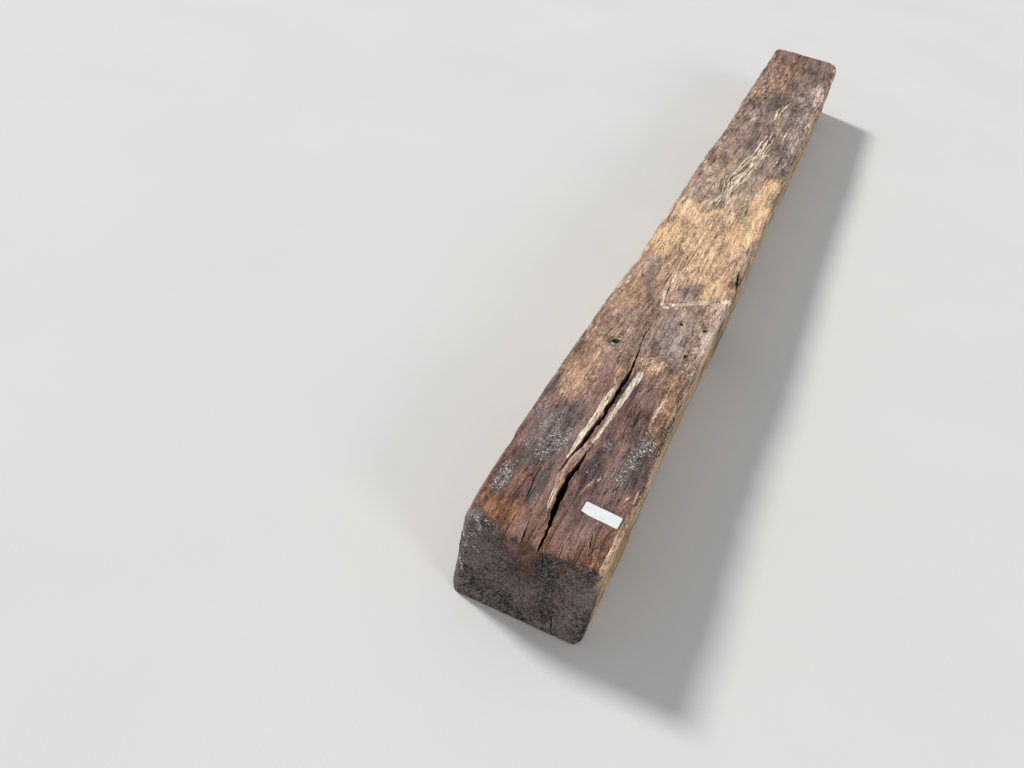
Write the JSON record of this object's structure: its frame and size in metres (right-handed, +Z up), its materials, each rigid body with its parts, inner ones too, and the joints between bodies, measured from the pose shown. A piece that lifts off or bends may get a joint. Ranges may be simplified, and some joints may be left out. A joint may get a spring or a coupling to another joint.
{
  "type": "railway sleeper",
  "caption": "Weathered hardwood railway sleeper, one squared timber with a long open split, worn rail seats, spike holes and broken arrises.",
  "frame": {"origin": "middle of the timber's outline on its flat underside", "axes": "+X along the timber towards its far end, +Y across it, +Z up from the underside to the face with the rail seats"},
  "size_m": [2.5893, 0.24, 0.178],
  "materials": {
    "timber": "weathered, rough-hewn hardwood, grey and tan on top with dark sawn ends",
    "label": "matt white stick-on label, left blank"
  },
  "bodies": {
    "root": {"sleeper": "timber"}
  },
  "joints": []
}
